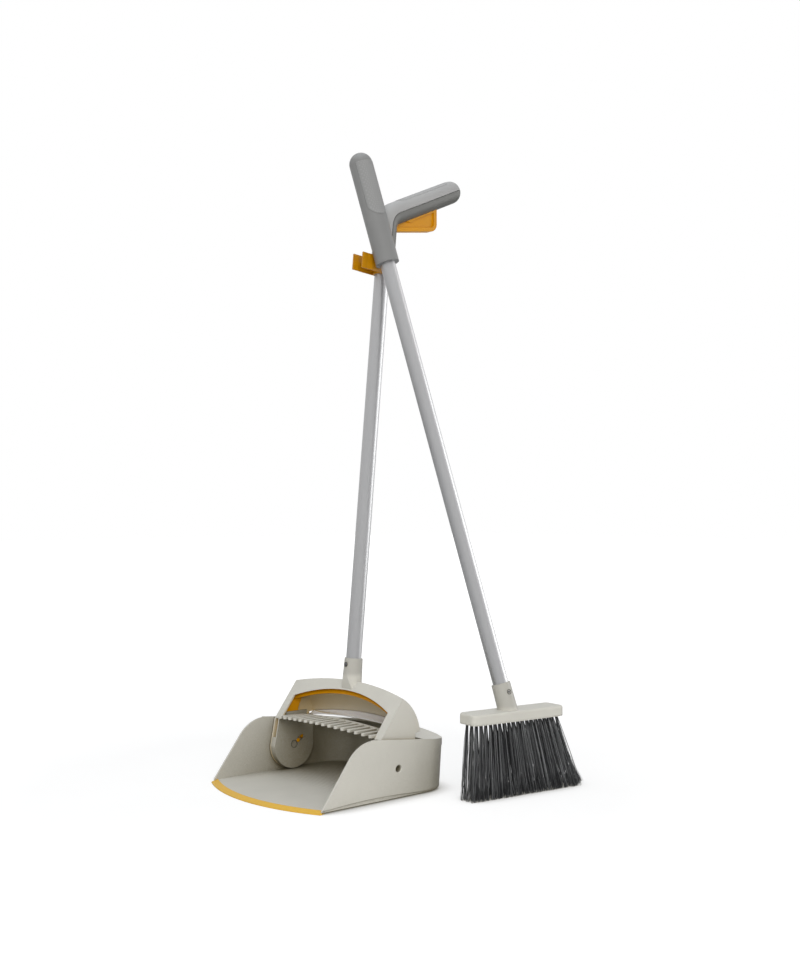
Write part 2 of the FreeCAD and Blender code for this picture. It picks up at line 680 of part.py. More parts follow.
def outer_side(out):
    """Space on the outer side of the grip's centre line moved outwards."""
    start, a, b, c, end = grip_path(out, FAR)
    flat = [(p.y, p.z) for p in (start, a, b, c, end)]
    steps = [flat[1], (flat[2], flat[3]), flat[4], (flat[4][0], 4 * FAR), (-FAR, 4 * FAR),
             (-FAR, flat[0][1])]
    return across(flat[0], steps, -FAR, FAR)


def under_arm(y):
    bend = on_tube(GRIP_BEND_Z)
    return bend.z + (y - bend.y) * math.tan(GRIP_RISE) - GRIP_RADIUS / math.cos(GRIP_RISE)


def trigger_face(x):
    """Outline of the trigger plate: finger edge below, nose over the rod, spring seat on top."""
    y0, z0 = TRIGGER_LOW
    r = TRIGGER_CORNER
    rear = TRIGGER_REAR

    def low(y):
        return z0 + TRIGGER_SLOPE * (y - y0)

    front_gap, back_gap, nose_z = TRIGGER_NOSE
    rod_y = on_tube(nose_z).y
    k = r * (1 - math.sqrt(0.5))
    seat0, seat1 = TRIGGER_SEAT_Y
    lean = TUBE_SLOPE * (seat1 - seat0) / 2
    steps = [(rear - r, low(rear - r)), ((rear - k, low(rear) + k), (rear, low(rear) + r)),
             (rear, under_arm(rear) + TRIGGER_INSIDE), (seat1 + 2, under_arm(seat1 + 2) + TRIGGER_INSIDE),
             (seat1, TRIGGER_SEAT_Z - lean), (seat0, TRIGGER_SEAT_Z + lean),
             (rod_y + back_gap, nose_z), (rod_y - front_gap, nose_z)]
    return face(lambda y, z: V(x, y, z), (rod_y - front_gap, low(rod_y - front_gap)), steps)


def trigger():
    """Finger plate: thin web with a wider rim all round."""
    plate = trigger_face(-TRIGGER_HALF).extrude(V(2 * TRIGGER_HALF, 0, 0))
    web = trigger_face(TRIGGER_WEB).makeOffset2D(-TRIGGER_RIM).extrude(V(TRIGGER_HALF, 0, 0))
    plate = plate.cut(both_sides(web))
    return plate.cut(tube_bar(ROD_RADIUS + FIT, TUBE_TOP_Z, ROD_Z[1] + FIT))


def trigger_room():
    """Space swept by the trigger inside the grip, with a gap all round."""
    half = TRIGGER_HALF + TRIGGER_GAP
    outline = trigger_face(-half).makeOffset2D(TRIGGER_GAP)
    room = outline.extrude(V(2 * half, 0, 0))
    rooms = []
    for share in (0.5, 1.0):
        moved = room.copy()
        moved.translate(TUBE_DIR * (LATCH_TRAVEL * share))
        rooms.append(moved)
    return room.multiFuse(rooms)


def spring_base():
    return V(0, sum(TRIGGER_SEAT_Y) / 2, TRIGGER_SEAT_Z)


def grip_screw_place():
    """Seat and direction of the screw that joins the grip halves from below."""
    bend = on_tube(GRIP_BEND_Z)
    return bend + ARM_DIR * GRIP_SCREW_AT - ARM_UP * (GRIP_RADIUS - 5.0), ARM_UP * -1


def inlay(gap, proud):
    """Soft pad in a bed along the top of the arm."""
    bend = on_tube(GRIP_BEND_Z)
    a, b = INLAY_SPAN
    start = bend + ARM_DIR * (a - gap)
    skin = Part.makeCylinder(GRIP_RADIUS + proud, b - a + 2 * gap, start, ARM_DIR)
    depth = GRIP_RADIUS - INLAY_THICKNESS - gap
    skin = skin.cut(Part.makeCylinder(depth, b - a + 4, start - ARM_DIR, ARM_DIR))
    half = INLAY_HALF + gap
    window = Part.makeBox(2 * half, b - a + 2 * gap, GRIP_RADIUS * 2, V(-half, 0, 0))
    upright = [e for e in window.Edges if e.BoundBox.ZLength > GRIP_RADIUS]
    window = window.makeFillet(INLAY_HALF - 1, upright)
    window.Placement = FreeCAD.Placement(start, FreeCAD.Rotation(V(1, 0, 0), math.degrees(GRIP_RISE)))
    return skin.common(window)


def grip_shells():
    """Two moulded halves that meet along the grip's centre line with a groove between."""
    body = grip_bar(GRIP_RADIUS)
    wide, deep = GROOVE
    groove = outer_side(-wide / 2).cut(outer_side(wide / 2)).cut(grip_bar(GRIP_RADIUS - deep))
    room = SPRING_RADIUS + SPRING_WIRE + SLIDE_GAP
    spring_well = Part.makeCylinder(room, SPRING_LENGTH, spring_base(), TUBE_DIR)
    cuts = [tube_bar(TUBE_RADIUS + FIT, 0, TUBE_TOP_Z),
            tube_bar(ROD_RADIUS + ROD_ROOM, TUBE_TOP_Z - 1, ROD_Z[1]),
            trigger_room(), groove, inlay(FIT, INLAY_THICKNESS), spring_well]
    for cutter in cuts:
        body = body.cut(cutter)
    point, out = grip_screw_place()
    body = body.cut(screw_bore(point, out, GRIP_SCREW_LENGTH))
    body = body.cut(Part.makeCylinder(SCREW_HEAD + SLIDE_GAP, GRIP_RADIUS, point, out))
    region = outer_side(0.0)
    return body.common(region).removeSplitter(), body.cut(region).removeSplitter()


def turned_about(axis, angle):
    """Point of the spring wire's six-sided section at an angle about the wire."""
    a = axis.cross(V(0, 0, 1)).normalize()
    b = V(axis).normalize().cross(a)
    return (a * math.cos(angle) + b * math.sin(angle)) * SPRING_WIRE


def trigger_spring():
    """Return spring that stands on the trigger's seat."""
    rise = (SPRING_LENGTH - 2 * SPRING_WIRE - FIT) / (SPRING_TURNS * SPRING_STEPS)
    step = 2 * math.pi / SPRING_STEPS
    points = [V(SPRING_RADIUS * math.cos(i * step), SPRING_RADIUS * math.sin(i * step), i * rise)
              for i in range(SPRING_TURNS * SPRING_STEPS + 1)]
    along = points[1] - points[0]
    section = Part.makePolygon([points[0] + turned_about(along, i * math.pi / 3) for i in range(7)])
    coil = Part.makePolygon(points).makePipeShell([section], True, True, 1)
    base = spring_base() + TUBE_DIR * (SPRING_WIRE + FIT)
    coil.Placement = FreeCAD.Placement(base, FreeCAD.Rotation(V(0, 0, 1), TUBE_DIR))
    return coil


# ---- broom
HEAD_PLACE = FreeCAD.Placement(HEAD_CENTRE, FreeCAD.Rotation(V(0, 0, 1), HEAD_TURN))


def on_head(shape):
    """Moves a shape drawn with its long side along Y to the broom head's place."""
    shape.Placement = HEAD_PLACE.multiply(shape.Placement)
    return shape


def block(z0, z1):
    """Round-cornered bar of the broom head between two heights."""
    x = BLOCK_DEPTH / 2
    y = BLOCK_LENGTH / 2
    r = BLOCK_CORNER
    bar = box((-x, x), (-y, y), (z0, z1))
    upright = [e for e in bar.Edges if e.BoundBox.ZLength > (z1 - z0) / 2]
    return bar.makeFillet(r, upright)


def broom_head():
    """Block with rounded edges and an inclined socket."""
    bar = block(BLOCK_Z[0] + BACKING, BLOCK_Z[1])
    rim = [e for e in bar.Edges if e.BoundBox.ZMin > BLOCK_Z[1] - FIT]
    bar = on_head(bar.makeFillet(BLOCK_EDGE, rim))
    low = on_broom(BLOCK_Z[0])
    height = (on_broom(BROOM_SOCKET_TOP_Z) - low).Length
    socket = Part.makeCone(BROOM_SOCKET_RADII[0], BROOM_SOCKET_RADII[1], height, low, BROOM_DIR)
    socket = socket.common(box((-FAR, FAR), (-FAR, FAR), (BLOCK_Z[0] + BACKING + 1, FAR)))
    head = bar.fuse(socket).cut(broom_bar(TUBE_RADIUS + FIT, BROOM_TUBE_Z[0], BROOM_TUBE_Z[1]))
    return head.cut(screw_bore(*broom_screw_place())).removeSplitter()


def broom_screw_place():
    """Seat, direction and length of the screw through the broom's socket."""
    axis = HEAD_PLACE.Rotation.multVec(V(1, 0, 0))
    out = (axis - BROOM_DIR * axis.dot(BROOM_DIR)).normalize()
    share = (BROOM_SCREW_Z - BLOCK_Z[0]) / (BROOM_SOCKET_TOP_Z - BLOCK_Z[0])
    radius = BROOM_SOCKET_RADII[0] + (BROOM_SOCKET_RADII[1] - BROOM_SOCKET_RADII[0]) * share
    length = radius - TUBE_RADIUS + TUBE_WALL + SCREW_REACH
    return on_broom(BROOM_SCREW_Z) + out * (radius + SCREW_SEAT), out, length


def broom_tube():
    tube = broom_bar(TUBE_RADIUS, BROOM_TUBE_Z[0], BROOM_TUBE_Z[1])
    tube = tube.cut(broom_bar(TUBE_RADIUS - TUBE_WALL, 0, 3 * FAR))
    return tube.cut(screw_bore(*broom_screw_place()))


def grip_pad(gap, proud):
    """Soft patch on the side of the broom's grip, with a round lower end."""
    top = BROOM_GRIP_Z[1]
    skin = broom_bar(GRIP_RADIUS + proud, PAD_LOW_Z - gap, top + gap)
    skin = skin.cut(broom_bar(GRIP_RADIUS - PAD_THICKNESS - gap, 0, 3 * FAR))
    out = broom_screw_place()[1]
    side = BROOM_DIR.cross(out)
    half = GRIP_RADIUS * math.sin(PAD_HALF_ANGLE) + gap
    low = on_broom(PAD_LOW_Z - gap) + BROOM_DIR * half
    high = on_broom(top + gap)
    edges = [Part.Arc(low + side * half, low - BROOM_DIR * half, low - side * half).toShape(),
             Part.LineSegment(low - side * half, high - side * half).toShape(),
             Part.LineSegment(high - side * half, high + side * half).toShape(),
             Part.LineSegment(high + side * half, low + side * half).toShape()]
    return skin.common(Part.Face(Part.Wire(edges)).extrude(out * (GRIP_RADIUS * 2)))


def broom_grip():
    """Straight grip with a domed end, open below for the tube."""
    low, high = BROOM_GRIP_Z
    body = broom_bar(GRIP_RADIUS, low, high).fuse(Part.makeSphere(GRIP_RADIUS, on_broom(high)))
    body = body.cut(broom_bar(TUBE_RADIUS + FIT, 0, BROOM_GRIP_SEAT_Z))
    return body.cut(grip_pad(FIT, PAD_THICKNESS)).removeSplitter()


def strand(top, bottom):
    """Three-sided bristle strand between two points."""
    rings = []
    for p in (top, bottom):
        corners = [p + V(STRAND_RADIUS * math.cos(a), STRAND_RADIUS * math.sin(a), 0)
                   for a in (math.pi / 2, math.pi * 7 / 6, math.pi * 11 / 6)]
        rings.append(Part.makePolygon(corners + [corners[0]]))
    return Part.makeLoft(rings, True, True)


def bristle_row(row):
    """One row of tufts, flared towards the floor and fused to its slice of the backing."""
    slice_depth = BLOCK_DEPTH / ROWS
    x = -BLOCK_DEPTH / 2 + slice_depth * (row + 0.5)
    z = BLOCK_Z[0]
    cut = box((x - slice_depth / 2, x + slice_depth / 2), (-FAR, FAR), (z, z + BACKING))
    backing = block(z, z + BACKING).common(cut)
    pitch = ROW_LENGTH / TUFTS
    strands = []
    for i in range(TUFTS):
        share = (i + 0.5) / TUFTS
        y = ROW_LENGTH * (share - 0.5)
        y_floor = y - FLARE_FRONT * (1 - share) + FLARE_REAR * share
        x_floor = x * ROW_CLOSE + ROW_SHIFT
        for j in range(STRANDS):
            angle = 2 * math.pi * j / (STRANDS - 1)
            reach = TUFT_RADIUS if j else 0.0
            dx = reach * math.cos(angle)
            dy = reach * math.sin(angle)
            strands.append(strand(V(x + dx, y + dy, z + BACKING / 2),
                                  V(x_floor + dx * TUFT_SPREAD, y_floor + dy * TUFT_SPREAD, 0)))
    return on_head(backing.multiFuse(strands))


def build():
    upper, lower = grip_shells()
    cover = side_cover()
    point, out = grip_screw_place()
    nodes = {
        "pan_scoop": pan_scoop(),
        "lip_strip": lip_strip(),
        "hood_shell": hood_shell(),
        "side_cover_right": cover,
        "side_cover_left": mirrored(cover),
        "hair_comb": hair_comb(),
        "latch_yoke": latch_yoke(),
        "lock_pins": lock_pins(),
        "socket_screw": screw(*socket_screw_place()),
        "pan_tube": pan_tube(),
        "pull_rod": tube_bar(ROD_RADIUS, ROD_Z[0], ROD_Z[1]),
        "tube_clip": tube_clip(),
        "grip_upper_shell": upper,
        "grip_lower_shell": lower,
        "grip_inlay": inlay(0.0, INLAY_PROUD),
        "grip_screw": screw(point, out, GRIP_SCREW_LENGTH),
        "trigger": trigger(),
        "trigger_spring": trigger_spring(),
        "broom_head": broom_head(),
        "broom_screw": screw(*broom_screw_place()),
        "broom_tube": broom_tube(),
        "broom_grip": broom_grip(),
        "broom_grip_pad": grip_pad(0.0, PAD_PROUD),
    }
    for row in range(ROWS):
        nodes["bristle_row_%d" % (row + 1)] = bristle_row(row)
    return nodes


os.makedirs("parts", exist_ok=True)
for name, shape in build().items():
    shape.exportStep("parts/%s.step" % name)
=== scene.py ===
import math

import bpy
import numpy as np
from bpy.props import FloatProperty, FloatVectorProperty, IntProperty, PointerProperty
from mathutils import Matrix, Vector


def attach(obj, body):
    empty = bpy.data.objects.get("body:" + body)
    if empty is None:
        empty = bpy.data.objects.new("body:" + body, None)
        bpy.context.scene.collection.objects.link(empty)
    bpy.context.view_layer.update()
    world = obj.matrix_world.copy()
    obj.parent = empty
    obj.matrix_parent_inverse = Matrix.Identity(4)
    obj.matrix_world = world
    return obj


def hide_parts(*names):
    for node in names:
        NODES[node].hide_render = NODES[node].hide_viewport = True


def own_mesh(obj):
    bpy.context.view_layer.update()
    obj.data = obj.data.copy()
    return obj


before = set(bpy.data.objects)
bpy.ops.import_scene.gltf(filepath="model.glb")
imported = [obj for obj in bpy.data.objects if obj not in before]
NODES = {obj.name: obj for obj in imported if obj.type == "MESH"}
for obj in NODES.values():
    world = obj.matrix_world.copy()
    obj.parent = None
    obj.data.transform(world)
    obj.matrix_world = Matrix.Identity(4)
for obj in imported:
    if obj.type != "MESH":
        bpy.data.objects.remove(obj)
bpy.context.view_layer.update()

bl_info = {
    "name": "Dust pan and broom set",
    "version": (1, 0, 0),
    "blender": (4, 5, 0),
    "location": "View3D > Sidebar > Dust pan",
    "description": "Dresses the packed dust pan and broom set and builds its studio",
    "category": "Object",
}

# Where each finish is used.
FINISHES = {
    "pan": ("pan_scoop",),
    "hood": ("hood_shell",),
    "shell": ("side_cover_right", "side_cover_left", "hair_comb"),
    "head": ("broom_head",),
    "amber": ("latch_yoke", "trigger", "lock_pins"),
    "clip": ("tube_clip",),
    "lip": ("lip_strip",),
    "pan_tube": ("pan_tube",),
    "broom_tube": ("broom_tube",),
    "steel": ("socket_screw", "broom_screw", "grip_screw", "pull_rod"),
    "grip_light": ("grip_upper_shell",),
    "broom_grip": ("broom_grip",),
    "grip_dark": ("grip_lower_shell",),
    "inlay": ("grip_inlay",),
    "pad": ("broom_grip_pad",),
}

# The broom head in its own frame: long side along its Y, short side along its X.
HEAD_CENTRE = Vector((0.1923, 0.180, 0.0))
HEAD_TURN = math.radians(-6.95)
BLOCK_BOTTOM = 0.099
BLOCK_LENGTH = 0.162
BLOCK_DEPTH = 0.039
BED_THICKNESS = 0.0016
ROWS = 3
TUFTS = 19

TUBE_LEAN = math.atan(0.0952)
BROOM_AXIS = Vector((-0.2389, -0.1286, 0.9625)).normalized()

# The trigger's return spring stands on the trigger and is pressed against the grip.
SPRING_FOOT = Vector((0, 0.150, 0.829))
SPRING_LENGTH = 0.015
SPRING_RADIUS = 0.004
SPRING_WIRE = 0.0007
SPRING_PLAY = 0.0002
SPRING_TURNS = 5

# Places and half sizes on the right side of the pan and hood, which the left side mirrors.
PIVOT = (0.109, 0.0267, 0.0409)
LEG_RIB = (0.1145, 0.0048, 0.0672)
LEG_RIB_HALF = (0.0018, 0.0032, 0.0085)
SHELF_HALF = 0.1175

# Radius and half thickness of the dark seams: rings of painted shadow in the joints round the pivots and
# screws.
PIVOT_SEAM = (0.0055, 0.00035)
SCREW_SEAM = (0.0031, 0.0004)

# Where the two socket screws bear on their sockets, and the way each one faces.
SCREW_SEATS = (
    ("socket_screw", "handle", (0.00000, 0.03739, 0.16881), (-0.00000, -0.99550, 0.09477)),
    ("broom_screw", "broom", (0.19912, 0.16678, 0.13907), (0.96367, -0.15331, 0.21871)),
)

# Painted shade on a socket: its colour darkens between two heights, by a factor.
HOOD_SOCKET_SHADE = (0.15, 0.158, 0.76)
HEAD_SOCKET_SHADE = (0.113, 0.12, 0.74)

# Painted light on the hood's rear shelf: it is coloured pale where it faces up, behind a place and below an
# arch.
SHELF_FROM_Y = 0.06
SHELF_CROWN = 0.0945
SHELF_SAG = 0.6
SHELF_FACING = 0.4

# Low ribs across the pan's floor.
RIB_PITCH = 0.0055
RIBS_FROM_Y = -0.02
RIBS_TO_Y = 0.115
RIBS_BELOW = 0.0045
RIB_STRENGTH = 0.6
RIB_HEIGHT = 0.0004

# Length of one band of a wave texture at scale 1, and the reach of the shade in hollows.
WAVE_BAND = 0.31
HOLLOW_REACH = 0.25

# The tufts: length, skew and widening of the rows, narrowing at the floor, scatter and taper.
ROW_LENGTH = 0.151
ROW_SKEW = 0.195
ROW_FAN = (1.02, 21.0)
ROW_NARROWING = 0.8
TIP_FLATNESS = 0.55
WAIST = 0.5
TIP_SCATTER = 0.0009
BOW_SCATTER = 0.0011
SCATTER_LIMIT = 0.002
CUT_DEPTH = 0.002
STRAND_TAPER = 0.35
STRAND_SEED = 5

# The floor: half size, reach of its contact shade, and how it turns plain white away from the set.
FLOOR_HALF = 12.0
FLOOR_SHADE_REACH = 0.04
FLOOR_SHADE = (0.24, 0.23, 0.2)
FLOOR_GLOW = 1.2
FLOOR_FADE = (("From Min", 0.4), ("From Max", 1.3), ("To Min", 0.6), ("To Max", 1.0))

# Each lamp's size, place, target and tint.
SIDE_LAMP = (1.8, Vector((2.4, -1.6, 1.4)), Vector((0.05, 0.05, 0.2)), (1.0, 0.985, 0.95))
STRIP_LAMP = (1.1, Vector((1.12, 2.15, 0.7)), Vector((0.05, 0.05, 0.5)), (1.0, 1.0, 1.0))
TOP_LAMP = (2.4, Vector((0.0, -0.4, 3.0)), Vector((0.05, 0.05, 0.2)), (0.88, 0.94, 1.0))
STRIP_HEIGHT = 2.0


def colour(name, words, rgb):
    return FloatVectorProperty(name=name, description=words, default=rgb, subtype="COLOR", size=3,
                               min=0, max=1)


def length(name, words, default):
    return FloatProperty(name=name, description=words, default=default, unit="LENGTH", min=0)


def power(name, words, default):
    return FloatProperty(name=name, description=words, default=default, unit="POWER", min=0)


class DustpanPlastic(bpy.types.PropertyGroup):
    """Colours of the moulded pieces."""
    shell: colour("Shell", "Warm grey of the pan, hood and broom block", (0.64, 0.622, 0.562))
    amber: colour("Amber", "Latch, trigger and clip", (0.66, 0.285, 0.001))
    lip: colour("Lip", "Rubber edge of the pan", (0.78, 0.46, 0.045))
    grip_light: colour("Grip, light half", "Upper half of the grips", (0.375, 0.373, 0.371))
    broom_grip: colour("Broom grip", "Grip of the broom", (0.222, 0.222, 0.22))
    grip_dark: colour("Grip, dark half", "Lower half of the pan grip", (0.118, 0.119, 0.11))
    pad: colour("Grip pads", "Soft pads of both grips", (0.275, 0.275, 0.273))
    # Painted shade: the tint the shell and pan are darkened towards in their hollows.
    shade_in_hollows: colour("Hollows", "Tint of the shell's deep hollows", (0.27, 0.24, 0.165))
    # Painted shade inside the hood, warmed as if by light bounced off the amber latch.
    vault_shade: colour("Vault", "Tint of the hood's inside", (0.95, 0.76, 0.44))
    # Painted light: the pale, cool colour the hood's shelf takes where light from above falls on it.
    shelf: colour("Shelf", "Pale shelf inside the hood", (0.93, 0.93, 0.95))
    seam: colour("Seam", "Shadow line round the pivots and screws", (0.06, 0.055, 0.045))
    edge: length("Edge radius", "Softness of moulded edges", 0.0007)


class DustpanMetal(bpy.types.PropertyGroup):
    """Tubes, screws, rod and spring."""
    tube: colour("Tube", "Drawn aluminium", (0.44, 0.44, 0.445))
    steel: colour("Steel", "Plated steel", (0.16, 0.16, 0.165))


class DustpanBristles(bpy.types.PropertyGroup):
    """The broom's tufts."""
    dark: colour("Dark", "Main bristle colour", (0.022, 0.0228, 0.025))
    light: colour("Light", "Lighter strands", (0.24, 0.245, 0.25))
    strands: IntProperty(name="Strands in a tuft", description="How full a tuft is", default=34,
                         min=6, max=60)
    radius: length("Strand radius", "Half thickness of a strand", 0.00042)
    root: length("Tuft radius", "Radius of a tuft where it leaves the block", 0.0018)
    spread: length("Tip radius", "Radius of a tuft at the floor", 0.0058)
    front_flare: length("Front flare", "How far the front end runs out at the floor", 0.0185)
    rear_flare: length("Rear flare", "How far the rear end runs out at the floor", 0.0365)
    shift: length("Sweep", "How far the tips sweep sideways", 0.0175)


class DustpanStudio(bpy.types.PropertyGroup):
    """Lights and camera."""
    focal: FloatProperty(name="Lens", description="Camera lens", default=45.42,
                         subtype="DISTANCE_CAMERA", min=1)
    eye: FloatVectorProperty(name="Eye", description="Camera position",
                             default=(1.38124, -1.07913, 0.39444), unit="LENGTH", size=3)
    look: FloatVectorProperty(name="Look", description="Camera direction",
                              default=(-0.74934, 0.66202, 0.01470), size=3)
    sky: FloatProperty(name="Sky", description="Strength of the even light", default=0.34, min=0)
    side: power("Side", "Power of the lamp beside the set", 48.0)
    strip: power("Strip", "Power of the lamp that only gloss shows", 24.0)
    top: power("Top", "Power of the lamp above the set", 27.0)


# ---- shape helpers
def grid_faces(rows, cols, closed):
    """Quads of a rows by cols grid of points; closed joins the last column to the first."""
    r, c = np.meshgrid(np.arange(rows - 1), np.arange(cols if closed else cols - 1), indexing="ij")
    n = (c + 1) % cols
    return np.stack([r * cols + c, r * cols + n, (r + 1) * cols + n, (r + 1) * cols + c], -1).reshape(-1, 4)


def add_piece(name, points, faces, body, material, replaced=(), smooth=True):
    """Makes a mesh object at the origin from points in the row frame and lets it ride on a body."""
    mesh = bpy.data.meshes.new(name)
    mesh.from_pydata(points.tolist(), [], [list(map(int, f)) for f in faces])
    mesh.validate()
    mesh.polygons.foreach_set("use_smooth", np.full(len(mesh.polygons), smooth))
    piece = bpy.data.objects.new(name, mesh)
    bpy.context.scene.collection.objects.link(piece)
    mesh.materials.append(material)
    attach(piece, body)
    if replaced:
        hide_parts(*replaced)
    return piece


def head_to_row(points):
    """Turns points of the broom head's own frame about Z and moves them to its place."""
    c, s = math.cos(HEAD_TURN), math.sin(HEAD_TURN)
    turned = np.empty_like(points)
    turned[..., 0] = points[..., 0] * c - points[..., 1] * s + HEAD_CENTRE.x
    turned[..., 1] = points[..., 0] * s + points[..., 1] * c + HEAD_CENTRE.y
    turned[..., 2] = points[..., 2]
    return turned


# ---- material helpers
def new_material(name):
    material = bpy.data.materials.new(name)
    material.use_nodes = True
    nodes = material.node_tree.nodes
    return material, nodes, material.node_tree.links, nodes["Principled BSDF"]


def noise(nodes, links, scale, stretch=(1, 1, 1), detail=3.0, turn=(0, 0, 0)):
    """Noise on Object coordinates, stretched and turned by a Mapping node."""
    coords = nodes.new("ShaderNodeTexCoord")
    mapping = nodes.new("ShaderNodeMapping")
    mapping.inputs["Scale"].default_value = stretch
    mapping.inputs["Rotation"].default_value = turn
    texture = nodes.new("ShaderNodeTexNoise")
    texture.inputs["Scale"].default_value = scale
    texture.inputs["Detail"].default_value = detail
    links.new(coords.outputs["Object"], mapping.inputs["Vector"])
    links.new(mapping.outputs["Vector"], texture.inputs["Vector"])
    return texture.outputs["Fac"]


def ramp_between(nodes, links, source, low, high, start=0.3, end=0.7):
    """Colour that runs from low to high with a source value."""
    ramp = nodes.new("ShaderNodeValToRGB")
    ramp.color_ramp.elements[0].position = start
    ramp.color_ramp.elements[1].position = end
    ramp.color_ramp.elements[0].color = (*low, 1)
    ramp.color_ramp.elements[1].color = (*high, 1)
    links.new(source, ramp.inputs["Fac"])
    return ramp.outputs["Color"]


def vary(nodes, links, source, low, high):
    """Number that runs from low to high with a source value."""
    span = nodes.new("ShaderNodeMapRange")
    span.inputs["To Min"].default_value = low
    span.inputs["To Max"].default_value = high
    links.new(source, span.inputs["Value"])
    return span.outputs["Result"]


def bump(nodes, links, shader, source, strength, distance, edge=0.0):
    """Bump on a shader, over softly rounded edges where an edge radius is given."""
    node = nodes.new("ShaderNodeBump")
    node.inputs["Strength"].default_value = strength
    node.inputs["Distance"].default_value = distance
    links.new(source, node.inputs["Height"])
    if edge:
        soft = nodes.new("ShaderNodeBevel")
        soft.inputs["Radius"].default_value = edge
        soft.samples = 4
        links.new(soft.outputs["Normal"], node.inputs["Normal"])
    links.new(node.outputs["Normal"], shader.inputs["Normal"])


def mixed(nodes, links, colour_in, other, share=1.0, blend="MULTIPLY"):
    """Mixes a colour with another by a share. Both may be sockets or plain values."""
    mix = nodes.new("ShaderNodeMix")
    mix.data_type = "RGBA"
    mix.blend_type = blend
    links.new(colour_in, mix.inputs["A"])
    for key, value in (("Factor", share), ("B", other)):
        if isinstance(value, bpy.types.NodeSocket):
            links.new(value, mix.inputs[key])
        else:
            mix.inputs[key].default_value = value
    return mix.outputs["Result"]


def scaled(rgb, factor):
    return tuple(min(1.0, c * factor) for c in rgb)


def hollow_shade(nodes, links, colour_in, tint, reach):
    """Paints shade in hollows: deepens a colour towards a tint where little open space lies within reach."""
    shade_in_hollows = nodes.new("ShaderNodeAmbientOcclusion")
    shade_in_hollows.samples = 8
    shade_in_hollows.inputs["Distance"].default_value = reach
    shade = ramp_between(nodes, links, shade_in_hollows.outputs["AO"], tint, (1, 1, 1), 0.12, 0.55)
    return mixed(nodes, links, colour_in, shade)


def moulded(name, rgb, roughness, texture_scale=900.0, depth=0.00004, edge=0.0007, shade_in_hollows=None,
            gloss=0.4):
    """Moulded plastic: faint clouding, uneven gloss, a fine spark-eroded grain and any painted shade in
    hollows.
    """
    material, nodes, links, shader = new_material(name)
    cloud = noise(nodes, links, 22.0, detail=4.0)
    base = ramp_between(nodes, links, cloud, scaled(rgb, 0.965), scaled(rgb, 1.03))
    if shade_in_hollows:
        base = hollow_shade(nodes, links, base, shade_in_hollows, HOLLOW_REACH)
    links.new(base, shader.inputs["Base Color"])
    grain = noise(nodes, links, texture_scale, detail=2.0)
    links.new(vary(nodes, links, cloud, roughness - 0.05, roughness + 0.06), shader.inputs["Roughness"])
    shader.inputs["Specular IOR Level"].default_value = gloss
    bump(nodes, links, shader, grain, 0.35, depth, edge)
    return material


def place_axes(nodes, links):
    """Outputs X, Y and Z of the point's place in the object."""
    coords = nodes.new("ShaderNodeTexCoord")
    split = nodes.new("ShaderNodeSeparateXYZ")
    links.new(coords.outputs["Object"], split.inputs["Vector"])
    return split.outputs


def math_node(nodes, links, operation, a, b=None):
    """Result of one operation on one or two inputs, each a number or a socket."""
    node = nodes.new("ShaderNodeMath")
    node.operation = operation
    for socket, value in zip(node.inputs, (a, b)):
        if isinstance(value, float):
            socket.default_value = value
        elif value:
            links.new(value, socket)
    return node.outputs[0]


def paint_shade_above(material, low, high, factor):
    """Paints shade on a socket that stands up: darkens a material's colour smoothly above a height."""
    nodes, links = material.node_tree.nodes, material.node_tree.links
    axes = place_axes(nodes, links)
    height = nodes.new("ShaderNodeMapRange")
    height.interpolation_type = "SMOOTHSTEP"
    for name, value in (("From Min", low), ("From Max", high), ("To Min", 1.0), ("To Max", factor)):
        height.inputs[name].default_value = value
    links.new(axes["Z"], height.inputs["Value"])
    base = nodes["Principled BSDF"].inputs["Base Color"]
    links.new(mixed(nodes, links, base.links[0].from_socket, height.outputs["Result"]), base)
    return material


def paint_light_on_shelf(material, rgb):
    """Paints light on the top of the hood's rear shelf, as a pale colour where it faces up, behind a
    place in y and below the arch z = crown - sag x^2."""
    nodes, links = material.node_tree.nodes, material.node_tree.links
    axes = place_axes(nodes, links)
    sag = math_node(nodes, links, "MULTIPLY", math_node(nodes, links, "MULTIPLY", axes["X"], axes["X"]),
                    SHELF_SAG)
    arch = math_node(nodes, links, "SUBTRACT", SHELF_CROWN, sag)
    facing = nodes.new("ShaderNodeSeparateXYZ")
    links.new(nodes.new("ShaderNodeNewGeometry").outputs["True Normal"], facing.inputs["Vector"])
    mask = math_node(nodes, links, "LESS_THAN", axes["Z"], arch)
    for value, limit in ((axes["Y"], SHELF_FROM_Y), (facing.outputs["Z"], SHELF_FACING)):
        mask = math_node(nodes, links, "MULTIPLY", mask,
                         math_node(nodes, links, "GREATER_THAN", value, limit))
    base = nodes["Principled BSDF"].inputs["Base Color"]
    links.new(mixed(nodes, links, base.links[0].from_socket, (*rgb, 1), mask, "MIX"), base)
    return material


def ribbed_floor(material):
    """Adds low ribs across the pan's floor: a sine of y between two places, below a height."""
    nodes, links = material.node_tree.nodes, material.node_tree.links
    axes = place_axes(nodes, links)
    turn = math_node(nodes, links, "MULTIPLY", axes["Y"], 2 * math.pi / RIB_PITCH)
    wave = math_node(nodes, links, "SINE", turn)
    for axis, operation, limit in (("Y", "GREATER_THAN", RIBS_FROM_Y), ("Y", "LESS_THAN", RIBS_TO_Y),
                                   ("Z", "LESS_THAN", RIBS_BELOW)):
        inside = math_node(nodes, links, operation, axes[axis], limit)
        wave = math_node(nodes, links, "MULTIPLY", wave, inside)
    ribs = nodes.new("ShaderNodeBump")
    ribs.inputs["Strength"].default_value = RIB_STRENGTH
    ribs.inputs["Distance"].default_value = RIB_HEIGHT
    links.new(wave, ribs.inputs["Height"])
    normal = nodes["Principled BSDF"].inputs["Normal"]
    links.new(normal.links[0].from_socket, ribs.inputs["Normal"])
    links.new(ribs.outputs["Normal"], normal)
    return material


